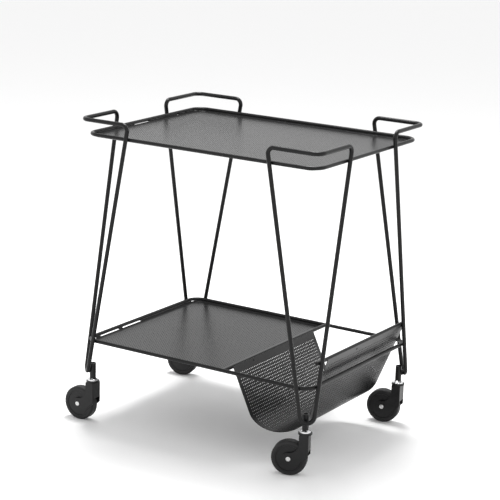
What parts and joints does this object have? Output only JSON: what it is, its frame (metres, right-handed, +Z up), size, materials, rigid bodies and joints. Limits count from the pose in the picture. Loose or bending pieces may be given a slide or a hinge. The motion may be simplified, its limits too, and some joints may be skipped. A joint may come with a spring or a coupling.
{
  "type": "bar cart",
  "caption": "Two-tier wheeled bar cart: sheet trays in bent-rod rings, hairpin legs that form corner handles, a perforated magazine trough and swivel casters.",
  "frame": {"origin": "on the floor, under the centre of the two rod rings", "axes": "+X along the long side towards the magazine basket, +Y to the back, +Z up"},
  "size_m": [0.6392, 0.4519, 0.6805],
  "materials": {
    "powder_coated_steel": "satin black powder coat",
    "black_plastic": "moulded satin black",
    "tyre_rubber": "matte black rubber",
    "chrome": "bright plated",
    "zinc_steel": "zinc plated",
    "bush_plastic": "natural acetal"
  },
  "bodies": {
    "frame": {"top_rim_ring": "powder_coated_steel", "top_tray": "powder_coated_steel", "top_tray_weld_tabs": "powder_coated_steel", "shelf_ring": "powder_coated_steel", "shelf_tray": "powder_coated_steel", "shelf_tray_weld_tabs": "powder_coated_steel", "basket_cross_rod": "powder_coated_steel", "basket_top_rod": "powder_coated_steel", "magazine_basket": "powder_coated_steel", "basket_weld_tabs": "powder_coated_steel", "basket_rivets": "zinc_steel", "socket_weld_beads": "powder_coated_steel", "front_left_hairpin_leg": "powder_coated_steel", "front_left_socket_tube": "powder_coated_steel", "front_left_stem_bolt": "zinc_steel", "front_left_stem_collar": "chrome", "front_left_stem_washer": "chrome", "front_right_hairpin_leg": "powder_coated_steel", "front_right_socket_tube": "powder_coated_steel", "front_right_stem_bolt": "zinc_steel", "front_right_stem_collar": "chrome", "front_right_stem_washer": "chrome", "back_right_hairpin_leg": "powder_coated_steel", "back_right_socket_tube": "powder_coated_steel", "back_right_stem_bolt": "zinc_steel", "back_right_stem_collar": "chrome", "back_right_stem_washer": "chrome", "back_left_hairpin_leg": "powder_coated_steel", "back_left_socket_tube": "powder_coated_steel", "back_left_stem_bolt": "zinc_steel", "back_left_stem_collar": "chrome", "back_left_stem_washer": "chrome"},
    "front_left_swivel": {"front_left_swivel_fork": "black_plastic", "front_left_swivel_bush": "bush_plastic", "front_left_axle_rivet": "zinc_steel"},
    "front_left_wheel": {"front_left_tyre": "tyre_rubber", "front_left_wheel_core": "black_plastic", "front_left_hub_bush": "bush_plastic"},
    "front_right_swivel": {"front_right_swivel_fork": "black_plastic", "front_right_swivel_bush": "bush_plastic", "front_right_axle_rivet": "zinc_steel"},
    "front_right_wheel": {"front_right_tyre": "tyre_rubber", "front_right_wheel_core": "black_plastic", "front_right_hub_bush": "bush_plastic"},
    "back_right_swivel": {"back_right_swivel_fork": "black_plastic", "back_right_swivel_bush": "bush_plastic", "back_right_axle_rivet": "zinc_steel"},
    "back_right_wheel": {"back_right_tyre": "tyre_rubber", "back_right_wheel_core": "black_plastic", "back_right_hub_bush": "bush_plastic"},
    "back_left_swivel": {"back_left_swivel_fork": "black_plastic", "back_left_swivel_bush": "bush_plastic", "back_left_axle_rivet": "zinc_steel"},
    "back_left_wheel": {"back_left_tyre": "tyre_rubber", "back_left_wheel_core": "black_plastic", "back_left_hub_bush": "bush_plastic"}
  },
  "joints": [
    {"name": "front_left_swivel", "type": "hinge", "parent": "frame", "child": "front_left_swivel", "pos_m": [-0.27274, -0.19825, 0.0905], "axis": [0, 0, 1], "continuous": true},
    {"name": "front_left_wheel_spin", "type": "hinge", "parent": "front_left_swivel", "child": "front_left_wheel", "pos_m": [-0.30372, -0.19955, 0.0375], "axis": [-0.0419, 0.9991, 0], "continuous": true},
    {"name": "front_right_swivel", "type": "hinge", "parent": "frame", "child": "front_right_swivel", "pos_m": [0.27274, -0.19825, 0.0905], "axis": [0, 0, 1], "continuous": true},
    {"name": "front_right_wheel_spin", "type": "hinge", "parent": "front_right_swivel", "child": "front_right_wheel", "pos_m": [0.24352, -0.2086, 0.0375], "axis": [-0.3338, 0.9426, 0], "continuous": true},
    {"name": "back_right_swivel", "type": "hinge", "parent": "frame", "child": "back_right_swivel", "pos_m": [0.27274, 0.19825, 0.0905], "axis": [0, 0, 1], "continuous": true},
    {"name": "back_right_wheel_spin", "type": "hinge", "parent": "back_right_swivel", "child": "back_right_wheel", "pos_m": [0.24212, 0.1934, 0.0375], "axis": [-0.1564, 0.9877, 0], "continuous": true},
    {"name": "back_left_swivel", "type": "hinge", "parent": "frame", "child": "back_left_swivel", "pos_m": [-0.27274, 0.19825, 0.0905], "axis": [0, 0, 1], "continuous": true},
    {"name": "back_left_wheel_spin", "type": "hinge", "parent": "back_left_swivel", "child": "back_left_wheel", "pos_m": [-0.30306, 0.1918, 0.0375], "axis": [-0.2079, 0.9781, 0], "continuous": true}
  ]
}
